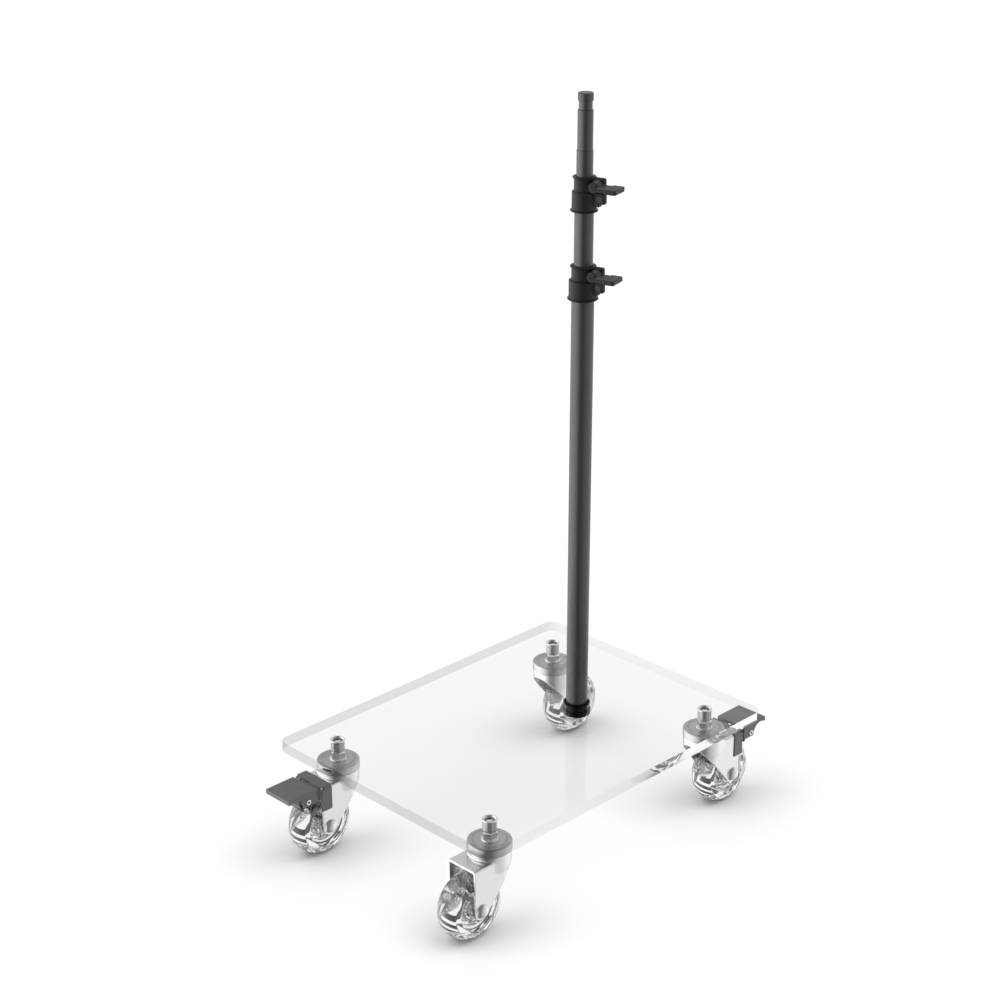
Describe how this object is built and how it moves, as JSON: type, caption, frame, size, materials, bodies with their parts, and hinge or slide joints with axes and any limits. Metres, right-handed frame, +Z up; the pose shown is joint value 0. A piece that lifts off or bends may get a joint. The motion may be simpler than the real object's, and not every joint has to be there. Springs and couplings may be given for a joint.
{
  "type": "roller stand",
  "caption": "Clear plate on swivel casters, two of them braked, with a black sliding pole that clamps at two collars and ends in a 5/8 inch spigot for a light.",
  "frame": {"origin": "on the floor under the middle of the plate", "axes": "+Z up along the pole; +Y along the plate's long side towards the pole's end; +X across the plate, towards the clamp levers"},
  "size_m": [0.32, 0.498, 0.7936],
  "materials": {
    "clear_acrylic": "clear polished acrylic sheet",
    "clear_tyre": "clear polyurethane, glossy",
    "clear_core": "clear polycarbonate, glossy",
    "chrome": "bright plated pressed steel",
    "chrome_cap": "satin plated steel",
    "zinc_steel": "zinc plated steel",
    "aluminium_plain": "plain turned",
    "tube_black": "satin black anodised",
    "foot_black": "black oxide",
    "nylon_black": "moulded black nylon",
    "liner_grey": "moulded acetal",
    "brake_grey": "moulded dark grey nylon"
  },
  "bodies": {
    "base": {"acrylic_plate": "clear_acrylic", "plate_inserts": "zinc_steel", "caster_stems": "zinc_steel", "swivel_caps": "chrome_cap", "pole_socket": "foot_black", "ring_nut": "foot_black", "foot_plug": "aluminium_plain", "foot_screw": "zinc_steel", "lower_tube": "tube_black", "lower_collar": "nylon_black", "lower_liner": "liner_grey", "lower_collar_screw": "zinc_steel", "lower_collar_nut": "zinc_steel", "lower_clamp_screw": "zinc_steel"},
    "caster_left": {"fork_left": "chrome", "swivel_balls_left": "zinc_steel", "axle_left": "chrome", "brake_housing_left": "brake_grey", "brake_rivet_left": "zinc_steel"},
    "wheel_left": {"tyre_left": "clear_tyre", "wheel_core_left": "clear_core", "bearings_left": "zinc_steel"},
    "pedal_left": {"brake_pedal_left": "brake_grey", "brake_shoe_left": "zinc_steel"},
    "caster_right": {"fork_right": "chrome", "swivel_balls_right": "zinc_steel", "axle_right": "chrome", "brake_housing_right": "brake_grey", "brake_rivet_right": "zinc_steel"},
    "wheel_right": {"tyre_right": "clear_tyre", "wheel_core_right": "clear_core", "bearings_right": "zinc_steel"},
    "pedal_right": {"brake_pedal_right": "brake_grey", "brake_shoe_right": "zinc_steel"},
    "caster_front": {"fork_front": "chrome", "swivel_balls_front": "zinc_steel", "axle_front": "chrome"},
    "wheel_front": {"tyre_front": "clear_tyre", "wheel_core_front": "clear_core", "bearings_front": "zinc_steel"},
    "caster_back": {"fork_back": "chrome", "swivel_balls_back": "zinc_steel", "axle_back": "chrome"},
    "wheel_back": {"tyre_back": "clear_tyre", "wheel_core_back": "clear_core", "bearings_back": "zinc_steel"},
    "middle_section": {"middle_tube": "tube_black", "middle_bush": "nylon_black", "upper_collar": "nylon_black", "upper_liner": "liner_grey", "upper_collar_screw": "zinc_steel", "upper_collar_nut": "zinc_steel", "upper_clamp_screw": "zinc_steel"},
    "top_section": {"top_tube": "tube_black", "top_bush": "nylon_black", "spigot": "tube_black"},
    "lower_clamp_lever": {"lower_lever": "nylon_black"},
    "upper_clamp_lever": {"upper_lever": "nylon_black"}
  },
  "joints": [
    {"name": "swivel_left", "type": "hinge", "parent": "base", "child": "caster_left", "pos_m": [-0.115, -0.165, 0.0921], "axis": [0, 0, 1], "continuous": true},
    {"name": "roll_left", "type": "hinge", "parent": "caster_left", "child": "wheel_left", "pos_m": [-0.115, -0.1943, 0.0365], "axis": [1, 0, 0], "continuous": true},
    {"name": "brake_left", "type": "hinge", "parent": "caster_left", "child": "pedal_left", "pos_m": [-0.115, -0.2235, 0.0771], "axis": [1, 0, 0], "range_deg": [0, 8.5]},
    {"name": "swivel_right", "type": "hinge", "parent": "base", "child": "caster_right", "pos_m": [0.115, 0.165, 0.0921], "axis": [0, 0, 1], "continuous": true},
    {"name": "roll_right", "type": "hinge", "parent": "caster_right", "child": "wheel_right", "pos_m": [0.115, 0.1943, 0.0365], "axis": [1, 0, 0], "continuous": true},
    {"name": "brake_right", "type": "hinge", "parent": "caster_right", "child": "pedal_right", "pos_m": [0.115, 0.2235, 0.0771], "axis": [-1, 0, 0], "range_deg": [0, 8.5]},
    {"name": "swivel_front", "type": "hinge", "parent": "base", "child": "caster_front", "pos_m": [0.115, -0.165, 0.0921], "axis": [0, 0, 1], "continuous": true},
    {"name": "roll_front", "type": "hinge", "parent": "caster_front", "child": "wheel_front", "pos_m": [0.115, -0.1943, 0.0365], "axis": [1, 0, 0], "continuous": true},
    {"name": "swivel_back", "type": "hinge", "parent": "base", "child": "caster_back", "pos_m": [-0.115, 0.165, 0.0921], "axis": [0, 0, 1], "continuous": true},
    {"name": "roll_back", "type": "hinge", "parent": "caster_back", "child": "wheel_back", "pos_m": [-0.115, 0.1943, 0.0365], "axis": [1, 0, 0], "continuous": true},
    {"name": "middle_slide", "type": "slide", "parent": "base", "child": "middle_section", "axis": [0, 0, 1], "range_m": [-0.055, 0.32]},
    {"name": "top_slide", "type": "slide", "parent": "middle_section", "child": "top_section", "axis": [0, 0, 1], "range_m": [-0.026, 0.38]},
    {"name": "lower_clamp", "type": "hinge", "parent": "base", "child": "lower_clamp_lever", "pos_m": [0.02221, 0.08293, 0.6114], "axis": [0.2756, -0.9613, 0], "range_deg": [-45, 90]},
    {"name": "upper_clamp", "type": "hinge", "parent": "middle_section", "child": "upper_clamp_lever", "pos_m": [0.02221, 0.08293, 0.7032], "axis": [0.2756, -0.9613, 0], "range_deg": [-45, 90]}
  ]
}
